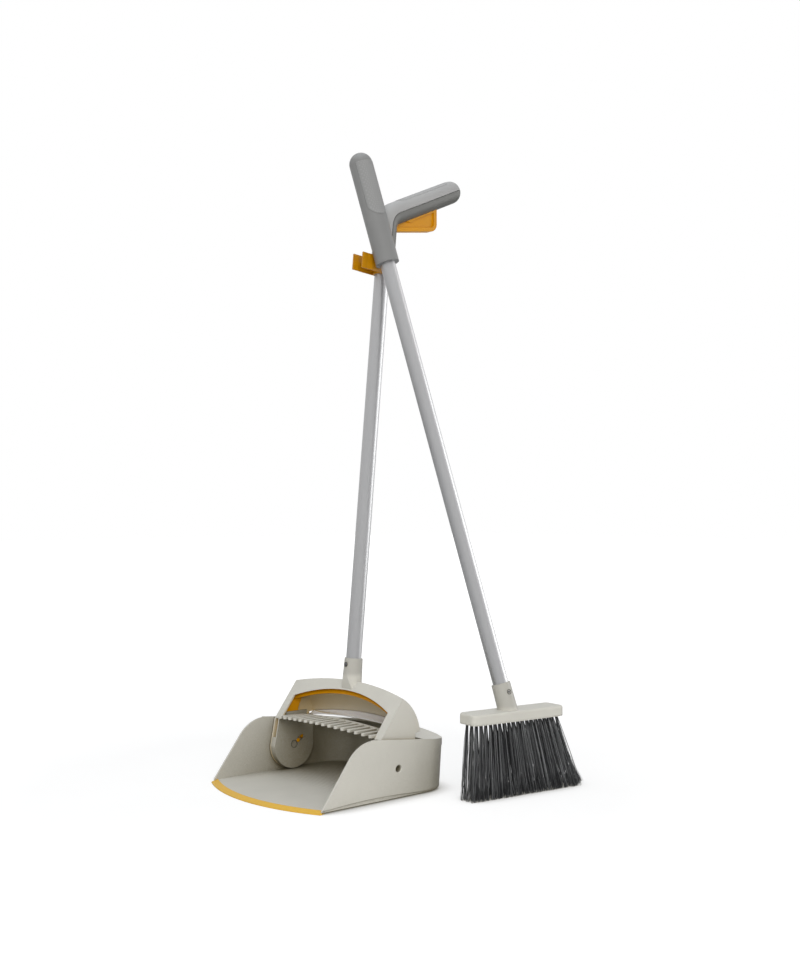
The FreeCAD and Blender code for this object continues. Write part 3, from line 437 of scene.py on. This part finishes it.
def drawn_tube(name, rgb, turn):
    """Drawn aluminium: fine lines along the tube that streak its gloss."""
    material, nodes, links, shader = new_material(name)
    lines = noise(nodes, links, 60.0, (22.0, 22.0, 0.06), 4.0, turn)
    links.new(ramp_between(nodes, links, lines, scaled(rgb, 0.97), scaled(rgb, 1.02)),
              shader.inputs["Base Color"])
    links.new(vary(nodes, links, lines, 0.4, 0.46), shader.inputs["Roughness"])
    shader.inputs["Metallic"].default_value = 1.0
    bump(nodes, links, shader, lines, 0.05, 0.00001)
    return material


def plated_steel(name, rgb):
    """Plated steel: fine wear that varies its tone and gloss."""
    material, nodes, links, shader = new_material(name)
    wear = noise(nodes, links, 700.0, detail=4.0)
    links.new(ramp_between(nodes, links, wear, scaled(rgb, 0.75), scaled(rgb, 1.1)),
              shader.inputs["Base Color"])
    links.new(vary(nodes, links, wear, 0.22, 0.45), shader.inputs["Roughness"])
    shader.inputs["Metallic"].default_value = 1.0
    bump(nodes, links, shader, wear, 0.2, 0.00003)
    return material


def diamond_pad(name, rgb, turn, pitch=0.0022):
    """Soft rubber with a fine diamond grid pressed into it."""
    material, nodes, links, shader = new_material(name)
    coords = nodes.new("ShaderNodeTexCoord")
    heights = []
    for side in (1, -1):
        mapping = nodes.new("ShaderNodeMapping")
        mapping.inputs["Rotation"].default_value = (turn[0], turn[1] + side * math.radians(45), turn[2])
        wave = nodes.new("ShaderNodeTexWave")
        wave.inputs["Scale"].default_value = WAVE_BAND / pitch
        links.new(coords.outputs["Object"], mapping.inputs["Vector"])
        links.new(mapping.outputs["Vector"], wave.inputs["Vector"])
        heights.append(wave.outputs["Fac"])
    grid = math_node(nodes, links, "MULTIPLY", *heights)
    links.new(ramp_between(nodes, links, grid, scaled(rgb, 0.95), scaled(rgb, 1.05)),
              shader.inputs["Base Color"])
    links.new(vary(nodes, links, grid, 0.62, 0.5), shader.inputs["Roughness"])
    bump(nodes, links, shader, grid, 0.5, 0.00025)
    return material


def finish_nodes(key, material):
    """Gives one finish to all its CAD nodes."""
    for name in FINISHES[key]:
        data = NODES[name].data
        data.materials.clear()
        data.materials.append(material)


# ---- operators
class DUSTPAN_OT_plastic(bpy.types.Operator):
    """Finish the moulded pan, hood, latch, grips and pads"""
    bl_idname = "dustpan.plastic"
    bl_label = "Plastic and rubber"

    def execute(self, context):
        p = context.scene.dustpan_plastic
        # The shell pieces get painted shade in their hollows.
        finish_nodes("shell", moulded("warm_grey_plastic", p.shell, 0.48, edge=p.edge,
                                      shade_in_hollows=p.shade_in_hollows))
        # The hood: painted warm shade inside, painted light on the shelf's top and painted shade on its
        # socket.
        hood = moulded("hood_plastic", p.shell, 0.48, edge=p.edge, shade_in_hollows=p.vault_shade)
        finish_nodes("hood", paint_shade_above(paint_light_on_shelf(hood, p.shelf), *HOOD_SOCKET_SHADE))
        # The broom head: painted shade on its socket.
        head = moulded("head_plastic", p.shell, 0.48, edge=p.edge)
        finish_nodes("head", paint_shade_above(head, *HEAD_SOCKET_SHADE))
        # Painted shade: the clip takes the amber darkened to 0.8, for the shadow the broom grip casts on it.
        finish_nodes("clip", moulded("clip_shaded_amber", scaled(p.amber, 0.8), 0.4, 1200.0, 0.00002, p.edge))
        # The pan gets painted shade in its hollows.
        pan = moulded("pan_plastic", p.shell, 0.48, edge=p.edge, shade_in_hollows=p.shade_in_hollows)
        finish_nodes("pan", ribbed_floor(pan))
        finish_nodes("amber", moulded("amber_plastic", p.amber, 0.38, 1200.0, 0.00002, p.edge, gloss=0.2))
        finish_nodes("lip", moulded("lip_rubber", p.lip, 0.5, 1500.0, 0.00005, p.edge))
        finish_nodes("grip_light", moulded("grip_light_plastic", p.grip_light, 0.4, edge=p.edge))
        finish_nodes("broom_grip", moulded("broom_grip_plastic", p.broom_grip, 0.4, edge=p.edge))
        finish_nodes("grip_dark", moulded("grip_dark_plastic", p.grip_dark, 0.45, edge=p.edge))
        inlay = scaled(p.grip_light, 0.96)
        finish_nodes("inlay", moulded("inlay_rubber", inlay, 0.6, 1400.0, 0.00008, p.edge))
        tilt = BROOM_AXIS.to_track_quat("Z", "Y").inverted().to_euler()
        finish_nodes("pad", diamond_pad("pad_rubber", p.pad, tilt))
        return {"FINISHED"}


class DUSTPAN_OT_metal(bpy.types.Operator):
    """Finish the two tubes, the screws, the rod and the spring"""
    bl_idname = "dustpan.metal"
    bl_label = "Tubes and screws"

    def execute(self, context):
        p = context.scene.dustpan_metal
        broom_turn = BROOM_AXIS.to_track_quat("Z", "Y").inverted().to_euler()
        finish_nodes("pan_tube", drawn_tube("pan_tube_aluminium", p.tube, (TUBE_LEAN, 0, 0)))
        finish_nodes("broom_tube", drawn_tube("broom_tube_aluminium", p.tube, tuple(broom_turn)))
        steel = plated_steel("plated_steel", p.steel)
        finish_nodes("steel", steel)
        points, faces = self.coil()
        spring = add_piece("return_spring", points, faces, "handle", steel, ("trigger_spring",))
        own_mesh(spring)
        return {"FINISHED"}

    @staticmethod
    def coil():
        """Helix R cos t, R sin t, rise t / 2 pi, leaning with the tube, swept by a ring of wire across
        its own tangent and closed at both ends by a fan."""
        radius, wire, ring, steps = SPRING_RADIUS, SPRING_WIRE, 8, 24
        rise = (SPRING_LENGTH - 2 * wire - SPRING_PLAY) / SPRING_TURNS
        t = np.linspace(0, SPRING_TURNS * 2 * math.pi, SPRING_TURNS * steps + 1)
        centre = np.stack([radius * np.cos(t), radius * np.sin(t),
                           wire + SPRING_PLAY + rise * t / (2 * math.pi)], -1)
        tangent = np.stack([-radius * np.sin(t), radius * np.cos(t),
                            np.full_like(t, rise / (2 * math.pi))], -1)
        tangent /= np.linalg.norm(tangent, axis=1)[:, None]
        outward = np.stack([np.cos(t), np.sin(t), np.zeros_like(t)], -1)
        across = np.cross(tangent, outward)
        a = np.linspace(0, 2 * math.pi, ring, endpoint=False)
        points = centre[:, None] + wire * (np.cos(a)[:, None] * outward[:, None]
                                           + np.sin(a)[:, None] * across[:, None])
        points = np.concatenate([points.reshape(-1, 3), centre[:1], centre[-1:]])
        faces = grid_faces(len(t), ring, True).tolist()
        first, last = len(points) - 2, len(points) - 1
        end = (len(t) - 1) * ring
        faces += [[first, k, (k + 1) % ring][::-1] for k in range(ring)]
        faces += [[last, end + k, end + (k + 1) % ring] for k in range(ring)]
        sin, cos = math.sin(TUBE_LEAN), math.cos(TUBE_LEAN)
        turn = np.array([[1, 0, 0], [0, cos, -sin], [0, sin, cos]])
        return points @ turn + np.array(SPRING_FOOT), faces


class DUSTPAN_OT_hood_details(bpy.types.Operator):
    """Add the hood's painted-light shelf, painted shadow seams round pivots and screws, and the latch legs'
    ribs
    """
    bl_idname = "dustpan.hood_details"
    bl_label = "Hood details"

    def execute(self, context):
        p = context.scene.dustpan_plastic
        # Painted light: the shelf piece takes the pale shelf colour.
        pale = moulded("shelf_painted_light", p.shelf, 0.4, edge=p.edge)
        seam = moulded("seam_shadow", p.seam, 0.6, edge=p.edge)
        points, faces = self.shelf()
        add_piece("hood_shelf", points, faces, "handle", pale)
        for side, name in ((1, "right"), (-1, "left")):
            # Painted shadow: a dark ring in the joint round each pivot.
            points, faces = self.seam_ring((side * PIVOT[0], *PIVOT[1:]), (side, 0, 0), *PIVOT_SEAM)
            add_piece("pivot_seam_" + name, points, faces, "handle", seam)
            points, faces = self.leg_rib(side)
            add_piece("leg_rib_" + name, points, faces, "latch", bpy.data.materials["amber_plastic"])
        # Painted shadow: a dark ring in the joint round each socket screw.
        for name, body, centre, out in SCREW_SEATS:
            points, faces = self.seam_ring(centre, out, *SCREW_SEAM)
            add_piece(name + "_seam", points, faces, body, seam)
        return {"FINISHED"}

    @staticmethod
    def shelf():
        """Cove between the cheeks. At share u across, its root follows the barrel of the hood's rear
        wall, y = axis + sqrt(r(x)^2 - h^2), and its rim a flatter arch; between the two, at share v,
        it is root + (rim - root) * v with a dip of 4 v (1 - v), closed by a lower skin."""
        x = np.linspace(-SHELF_HALF, SHELF_HALF, 61)
        arch = 1 - (x / SHELF_HALF) ** 2
        radius = 0.0609 + 0.014 * arch
        root_z = 0.0858 + 0.0092 * arch
        root_y = 0.008 + np.sqrt(radius ** 2 - (root_z - 0.0784) ** 2) - 0.0003
        rim_z = 0.0812 + 0.0062 * arch
        rim_y = 0.0672 + 0.0045 * arch - 0.008 * (x / SHELF_HALF) ** 8
        v = np.linspace(0, 1, 9)
        thick = 0.0012
        dip = thick * 4 * v * (1 - v)
        rows = []
        for skin in (0.0, thick):
            y = root_y + (rim_y - root_y) * v[:, None]
            z = root_z + (rim_z - root_z) * v[:, None] - dip[:, None] - skin
            rows.append(np.stack([np.broadcast_to(x, y.shape), y, z], -1))
        sheet = np.concatenate([rows[0], rows[1][::-1]])
        faces = grid_faces(len(sheet), len(x), False)[:, ::-1].tolist()
        n = len(x)
        last = len(sheet) - 1
        faces += [[last * n + i + 1, last * n + i, i, i + 1] for i in range(n - 1)]
        for i, flip in ((0, True), (n - 1, False)):
            for k in range(len(v) - 1):
                quad = [k * n + i, (k + 1) * n + i, (last - k - 1) * n + i, (last - k) * n + i]
                faces.append(quad[::-1] if flip else quad)
        return sheet.reshape(-1, 3), faces

    @staticmethod
    def seam_ring(centre, axis, radius, thick):
        """Thin torus: centre + (R + r cos a)(u cos b + v sin b) + w r sin a, with u, v, w square."""
        around, across = 48, 8
        w = Vector(axis).normalized()
        u = w.orthogonal().normalized()
        v = w.cross(u)
        u, v, w = (np.array(k) for k in (u, v, w))
        b, a = np.meshgrid(np.linspace(0, 2 * math.pi, around, endpoint=False),
                           np.linspace(0, 2 * math.pi, across, endpoint=False), indexing="ij")
        reach = (radius + thick * np.cos(a))[..., None]
        points = (np.array(centre) + reach * (u * np.cos(b)[..., None] + v * np.sin(b)[..., None])
                  + w * (thick * np.sin(a))[..., None])
        i, j = np.meshgrid(np.arange(around), np.arange(across), indexing="ij")
        k, m = (i + 1) % around, (j + 1) % across
        faces = np.stack([i * across + j, k * across + j, k * across + m, i * across + m], -1).reshape(-1, 4)
        return points.reshape(-1, 3), faces.tolist()

    @staticmethod
    def leg_rib(side):
        """Round-nosed rib down the front of a latch leg: ellipses across X, swept along Z with ends
        that shrink as sqrt(1 - t^6)."""
        rings, sides = 15, 16
        t = np.linspace(-1, 1, rings)
        angle = np.linspace(0, 2 * math.pi, sides, endpoint=False)
        width = np.sqrt(np.maximum(1 - t ** 6, 0.02))[:, None]
        x = side * LEG_RIB[0] + LEG_RIB_HALF[0] * np.cos(angle) * width
        y = LEG_RIB[1] + LEG_RIB_HALF[1] * np.sin(angle) * width
        z = np.broadcast_to(LEG_RIB[2] + LEG_RIB_HALF[2] * t[:, None], x.shape)
        faces = grid_faces(rings, sides, True).tolist()
        faces.append(list(range(sides - 1, -1, -1)))
        faces.append(list(range((rings - 1) * sides, rings * sides)))
        return np.stack([x, y, z], -1).reshape(-1, 3), faces


class DUSTPAN_OT_bristles(bpy.types.Operator):
    """Grow the broom's tufts from their bed"""
    bl_idname = "dustpan.bristles"
    bl_label = "Bristles"

    def execute(self, context):
        p = context.scene.dustpan_bristles
        material = self.strand_material(p)
        points, faces, tone = self.strands(p)
        tufts = add_piece("bristles", points, faces, "broom", material,
                          ("bristle_row_1", "bristle_row_2", "bristle_row_3"))
        tufts.data.attributes.new("tone", "FLOAT", "POINT").data.foreach_set("value", tone)
        points, faces = self.bed()
        add_piece("bristle_bed", points, faces, "broom", bpy.data.materials["warm_grey_plastic"],
                  smooth=False)
        return {"FINISHED"}

    @staticmethod
    def strands(p):
        """Each strand runs from a place in its tuft's disc to a place in a wider disc at the floor.
        Along it, the point is root + (tip - root) t, drawn in by a waist that goes as t (1 - t), plus
        a bow of its own that goes as 4 t (1 - t)."""
        rng = np.random.default_rng(STRAND_SEED)
        share = (np.arange(TUFTS) + 0.5) / TUFTS
        row_x = BLOCK_DEPTH * ((np.arange(ROWS) + 0.5) / ROWS - 0.5)
        row, tuft, _ = np.meshgrid(np.arange(ROWS), np.arange(TUFTS), np.arange(p.strands),
                                   indexing="ij")
        row, tuft = row.ravel(), tuft.ravel()
        count = row.size
        angle = rng.uniform(0, 2 * math.pi, count)
        reach = np.sqrt(rng.uniform(0, 1, count))
        jitter = rng.normal(0, TIP_SCATTER, (count, 2)).clip(-SCATTER_LIMIT, SCATTER_LIMIT)
        s = share[tuft]
        x0 = row_x[row]
        y0 = ROW_LENGTH * (s - 0.5) - ROW_SKEW * x0
        root = np.stack([x0 + p.root * reach * np.cos(angle), y0 + p.root * reach * np.sin(angle),
                         np.full(count, BLOCK_BOTTOM + BED_THICKNESS / 2)], -1)
        fan = ROW_FAN[0] - ROW_FAN[1] * x0
        y1 = y0 + fan * (p.rear_flare * s - p.front_flare * (1 - s))
        x1 = x0 * ROW_NARROWING + p.shift
        cut = rng.uniform(0, 1, count) ** 3 * CUT_DEPTH
        tip = np.stack([x1 + p.spread * TIP_FLATNESS * reach * np.cos(angle) + jitter[:, 0],
                        y1 + p.spread * reach * np.sin(angle) + jitter[:, 1], cut], -1)
        t = np.linspace(0, 1, 5)
        path = root[:, None] + (tip - root)[:, None] * t[None, :, None]
        waist = (WAIST * p.spread * reach)[:, None] * (t * (1 - t))
        path[..., :2] -= waist[..., None] * np.stack([np.cos(angle), np.sin(angle)], -1)[:, None]
        bow = rng.normal(0, BOW_SCATTER, (count, 2)).clip(-SCATTER_LIMIT, SCATTER_LIMIT)
        path[..., :2] += bow[:, None] * (4 * t * (1 - t))[None, :, None]
        sides = 3
        turn = rng.uniform(0, 2 * math.pi, count)[:, None, None] + np.arange(sides) * 2 * math.pi / sides
        width = p.radius * (1 - STRAND_TAPER * t)[None, :, None]
        ring = np.stack([np.cos(turn) * width, np.sin(turn) * width, np.zeros_like(turn * width)], -1)
        points = head_to_row((path[:, :, None] + ring).reshape(-1, 3))
        one = grid_faces(len(t), sides, True)[:, ::-1]
        base = np.arange(count) * len(t) * sides
        faces = (one[None] + base[:, None, None]).reshape(-1, 4).tolist()
        last = (len(t) - 1) * sides
        faces += [[b + last + 2, b + last + 1, b + last] for b in base]
        faces += [[b, b + 1, b + 2] for b in base]
        tone = np.repeat(rng.uniform(0, 1, count), len(t) * sides)
        return points, faces, tone

    @staticmethod
    def bed():
        """Thin plate under the block: a rounded rectangle in plan, with x and y going as the cosine
        and sine of an angle, each raised to a small share and keeping its sign."""
        sides, share, inset = 64, 0.22, 0.0002
        angle = np.linspace(0, 2 * math.pi, sides, endpoint=False)
        x = np.sign(np.cos(angle)) * np.abs(np.cos(angle)) ** share * (BLOCK_DEPTH / 2 - inset)
        y = np.sign(np.sin(angle)) * np.abs(np.sin(angle)) ** share * (BLOCK_LENGTH / 2 - inset)
        low = np.stack([x, y, np.full_like(x, BLOCK_BOTTOM)], -1)
        high = np.stack([x, y, np.full_like(x, BLOCK_BOTTOM + BED_THICKNESS)], -1)
        faces = grid_faces(2, sides, True).tolist()
        faces.append(list(range(sides - 1, -1, -1)))
        faces.append(list(range(sides, 2 * sides)))
        return head_to_row(np.concatenate([low, high])), faces

    @staticmethod
    def strand_material(p):
        """Fibre that runs from dark to light with each strand's own tone."""
        material, nodes, links, shader = new_material("bristle_fibre")
        tone = nodes.new("ShaderNodeAttribute")
        tone.attribute_name = "tone"
        links.new(ramp_between(nodes, links, tone.outputs["Fac"], p.dark, p.light, 0.4, 1.0),
                  shader.inputs["Base Color"])
        streak = noise(nodes, links, 300.0, (1, 1, 0.1), 3.0)
        links.new(vary(nodes, links, streak, 0.3, 0.5), shader.inputs["Roughness"])
        bump(nodes, links, shader, streak, 0.2, 0.00003)
        return material


class DUSTPAN_OT_stage(bpy.types.Operator):
    """Lay the floor, hang the lamps and set the camera"""
    bl_idname = "dustpan.stage"
    bl_label = "Studio"

    def execute(self, context):
        p = context.scene.dustpan_studio
        self.floor(context)
        self.world(context, p)
        side = self.lamp("side", p.side, *SIDE_LAMP)
        side.visible_glossy = False
        strip = self.lamp("strip", p.strip, *STRIP_LAMP)
        strip.data.shape = "RECTANGLE"
        strip.data.size_y = STRIP_HEIGHT
        strip.visible_diffuse = False
        self.lamp("top", p.top, *TOP_LAMP)
        self.camera(context, p)
        context.scene.view_settings.view_transform = "Standard"
        return {"FINISHED"}

    @staticmethod
    def floor(context):
        """Paper floor. The camera sees it partly as a glow, which is shaded near the set and plain
        white away from it."""
        mesh = bpy.data.meshes.new("floor")
        corners = [(x * FLOOR_HALF, y * FLOOR_HALF, 0) for x, y in ((-1, -1), (1, -1), (1, 1), (-1, 1))]
        mesh.from_pydata(corners, [], [(0, 1, 2, 3)])
        floor = bpy.data.objects.new("floor", mesh)
        context.scene.collection.objects.link(floor)
        material, nodes, links, shader = new_material("floor_paper")
        fibre = noise(nodes, links, 8.0)
        links.new(ramp_between(nodes, links, fibre, (0.9, 0.9, 0.9), (0.94, 0.94, 0.94)),
                  shader.inputs["Base Color"])
        shader.inputs["Roughness"].default_value = 0.9
        shader.inputs["Specular IOR Level"].default_value = 0.1
        glow = nodes.new("ShaderNodeEmission")
        near = nodes.new("ShaderNodeAmbientOcclusion")
        near.samples = 12
        near.inputs["Distance"].default_value = FLOOR_SHADE_REACH
        links.new(ramp_between(nodes, links, near.outputs["AO"], FLOOR_SHADE, (1, 1, 1), 0.35, 0.85),
                  glow.inputs["Color"])
        glow.inputs["Strength"].default_value = FLOOR_GLOW
        white = nodes.new("ShaderNodeMixShader")
        far = nodes.new("ShaderNodeVectorMath")
        far.operation = "LENGTH"
        links.new(nodes.new("ShaderNodeTexCoord").outputs["Object"], far.inputs[0])
        share = nodes.new("ShaderNodeMapRange")
        for name, value in FLOOR_FADE:
            share.inputs[name].default_value = value
        links.new(far.outputs["Value"], share.inputs["Value"])
        links.new(share.outputs["Result"], white.inputs["Fac"])
        links.new(shader.outputs["BSDF"], white.inputs[1])
        links.new(glow.outputs["Emission"], white.inputs[2])
        seen = nodes.new("ShaderNodeLightPath")
        pick = nodes.new("ShaderNodeMixShader")
        links.new(seen.outputs["Is Camera Ray"], pick.inputs["Fac"])
        links.new(shader.outputs["BSDF"], pick.inputs[1])
        links.new(white.outputs["Shader"], pick.inputs[2])
        links.new(pick.outputs["Shader"], nodes["Material Output"].inputs["Surface"])
        mesh.materials.append(material)

    @staticmethod
    def world(context, p):
        """Even light for the object; white where the camera, gloss or glass sees past it."""
        world = bpy.data.worlds.new("studio")
        context.scene.world = world
        world.use_nodes = True
        nodes, links = world.node_tree.nodes, world.node_tree.links
        light = nodes["Background"]
        light.inputs["Color"].default_value = (1, 1, 1, 1)
        light.inputs["Strength"].default_value = p.sky
        white = nodes.new("ShaderNodeBackground")
        white.inputs["Color"].default_value = (1, 1, 1, 1)
        white.inputs["Strength"].default_value = 1.0
        path = nodes.new("ShaderNodeLightPath")
        rays = [path.outputs[k] for k in ("Is Camera Ray", "Is Glossy Ray", "Is Transmission Ray")]
        total = rays[0]
        for ray in rays[1:]:
            total = math_node(nodes, links, "MAXIMUM", total, ray)
        mix = nodes.new("ShaderNodeMixShader")
        links.new(total, mix.inputs["Fac"])
        links.new(light.outputs["Background"], mix.inputs[1])
        links.new(white.outputs["Background"], mix.inputs[2])
        links.new(mix.outputs["Shader"], nodes["World Output"].inputs["Surface"])

    @staticmethod
    def lamp(name, watts, size, place, target, tint):
        data = bpy.data.lights.new(name, "AREA")
        data.energy = watts
        data.color = tint
        data.size = size
        lamp = bpy.data.objects.new(name, data)
        bpy.context.scene.collection.objects.link(lamp)
        turn = (target - place).to_track_quat("-Z", "Y")
        lamp.matrix_world = Matrix.Translation(place) @ turn.to_matrix().to_4x4()
        return lamp

    @staticmethod
    def camera(context, p):
        data = bpy.data.cameras.new("camera")
        data.lens = p.focal
        data.sensor_width = 36.0
        data.sensor_fit = "AUTO"
        data.clip_end = 50.0
        camera = bpy.data.objects.new("camera", data)
        context.scene.collection.objects.link(camera)
        turn = Vector(p.look).to_track_quat("-Z", "Y")
        camera.matrix_world = Matrix.Translation(p.eye) @ turn.to_matrix().to_4x4()
        context.scene.camera = camera


class DUSTPAN_PT_panel(bpy.types.Panel):
    """Everything the set is dressed with"""
    bl_label = "Dust pan set"
    bl_space_type = "VIEW_3D"
    bl_region_type = "UI"
    bl_category = "Dust pan"

    def draw(self, context):
        for operator, group in STEPS:
            box = self.layout.box()
            box.operator(operator.bl_idname)
            settings = getattr(context.scene, group)
            for key in settings.bl_rna.properties.keys():
                if key not in ("rna_type", "name"):
                    box.prop(settings, key)


GROUPS = {"dustpan_plastic": DustpanPlastic, "dustpan_metal": DustpanMetal,
          "dustpan_bristles": DustpanBristles, "dustpan_studio": DustpanStudio}
STEPS = ((DUSTPAN_OT_plastic, "dustpan_plastic"), (DUSTPAN_OT_hood_details, "dustpan_plastic"),
         (DUSTPAN_OT_metal, "dustpan_metal"), (DUSTPAN_OT_bristles, "dustpan_bristles"),
         (DUSTPAN_OT_stage, "dustpan_studio"))
CLASSES = tuple(GROUPS.values()) + tuple(step[0] for step in STEPS) + (DUSTPAN_PT_panel,)


def register():
    for cls in CLASSES:
        bpy.utils.register_class(cls)
    for name, group in GROUPS.items():
        setattr(bpy.types.Scene, name, PointerProperty(type=group))


def unregister():
    for name in GROUPS:
        delattr(bpy.types.Scene, name)
    for cls in reversed(CLASSES):
        bpy.utils.unregister_class(cls)


def main():
    register()
    bpy.ops.dustpan.plastic()
    bpy.ops.dustpan.hood_details()
    bpy.ops.dustpan.metal()
    bpy.ops.dustpan.bristles()
    bpy.ops.dustpan.stage()


if __name__ == "__main__":
    main()
